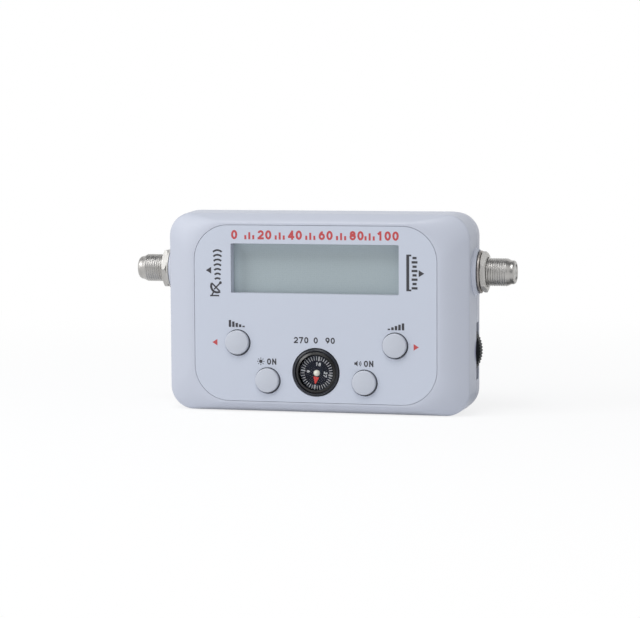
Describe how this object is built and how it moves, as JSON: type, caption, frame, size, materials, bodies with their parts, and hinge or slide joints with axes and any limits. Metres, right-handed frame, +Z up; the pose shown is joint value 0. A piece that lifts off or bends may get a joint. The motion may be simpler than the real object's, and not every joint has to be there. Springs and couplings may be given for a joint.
{
  "type": "satellite signal meter",
  "caption": "Hand-held satellite signal meter: rounded plastic case with a display window, round keys, a small compass, a gain wheel at one side and a threaded coaxial socket at each end.",
  "frame": {"origin": "centre of the flat base that the case stands on, half way between its front and back faces", "axes": "+X to the right as seen from the front, along the line of the two sockets; -Y out of the front face; +Z up"},
  "size_m": [0.1324, 0.0277, 0.068],
  "materials": {
    "case_plastic": "fine satin, pale blue grey",
    "face_film": "satin printed film",
    "polariser": "smooth grey green film",
    "glass": "clear",
    "clear_plastic": "clear moulded plastic",
    "milky_plastic": "milky white",
    "black_plastic": "black, half gloss",
    "grey_rubber": "dull dark grey",
    "board_green": "green coated laminate",
    "jewel": "polished cream",
    "nickel": "nickel plate on brass",
    "brass": "bright",
    "tinplate": "dull tinned",
    "steel": "zinc plated",
    "ferrite": "dull dark grey ferrite"
  },
  "bodies": {
    "case": {"front_shell": "case_plastic", "back_shell": "case_plastic", "face_label": "face_film", "case_screw_1": "steel", "case_screw_2": "steel", "case_screw_3": "steel", "case_screw_4": "steel", "display_polariser": "polariser", "display_front_glass": "glass", "display_rear_glass": "glass", "backlight_plate": "milky_plastic", "contact_strip": "grey_rubber", "display_holder": "black_plastic", "main_board": "board_green", "board_screw_1": "steel", "board_screw_2": "steel", "board_screw_3": "steel", "board_screw_4": "steel", "left_attenuator_switch": "black_plastic", "right_attenuator_switch": "black_plastic", "light_switch": "black_plastic", "buzzer_switch": "black_plastic", "compass_cup": "black_plastic", "compass_dome": "clear_plastic", "compass_pivot": "steel", "gain_control_body": "black_plastic", "left_socket": "nickel", "left_insulator": "milky_plastic", "left_contact": "brass", "left_washer": "nickel", "left_nut": "nickel", "right_socket": "nickel", "right_insulator": "milky_plastic", "right_contact": "brass", "right_washer": "nickel", "right_nut": "nickel", "tuner_shield": "tinplate", "shield_cover": "tinplate", "buzzer": "black_plastic", "capacitor": "tinplate", "choke": "ferrite", "controller_chip": "black_plastic", "regulator": "black_plastic", "crystal": "tinplate"},
    "left_attenuator_button": {"left_attenuator_key": "case_plastic", "left_attenuator_plunger": "milky_plastic"},
    "right_attenuator_button": {"right_attenuator_key": "case_plastic", "right_attenuator_plunger": "milky_plastic"},
    "light_button": {"light_key": "case_plastic", "light_plunger": "milky_plastic"},
    "buzzer_button": {"buzzer_key": "case_plastic", "buzzer_plunger": "milky_plastic"},
    "compass_dial": {"compass_card": "black_plastic", "compass_jewel": "jewel", "compass_magnet": "ferrite"},
    "wheel": {"gain_wheel": "black_plastic", "gain_shaft": "brass", "wheel_screw": "steel"}
  },
  "joints": [
    {"name": "left_attenuator_press", "type": "slide", "parent": "case", "child": "left_attenuator_button", "axis": [0, 1, 0], "range_m": [0, 0.0005], "stiffness_N_per_m": 500, "springref_m": -0.002},
    {"name": "right_attenuator_press", "type": "slide", "parent": "case", "child": "right_attenuator_button", "axis": [0, 1, 0], "range_m": [0, 0.0005], "stiffness_N_per_m": 500, "springref_m": -0.002},
    {"name": "light_press", "type": "slide", "parent": "case", "child": "light_button", "axis": [0, 1, 0], "range_m": [0, 0.0005], "stiffness_N_per_m": 500, "springref_m": -0.002},
    {"name": "buzzer_press", "type": "slide", "parent": "case", "child": "buzzer_button", "axis": [0, 1, 0], "range_m": [0, 0.0005], "stiffness_N_per_m": 500, "springref_m": -0.002},
    {"name": "compass_turn", "type": "hinge", "parent": "case", "child": "compass_dial", "pos_m": [0.0005, -0.0116, 0.01385], "axis": [0, 1, 0], "continuous": true},
    {"name": "gain_turn", "type": "hinge", "parent": "case", "child": "wheel", "pos_m": [0.043, 0.0044, 0.0209], "axis": [0, 1, 0], "range_deg": [-140, 140]}
  ]
}
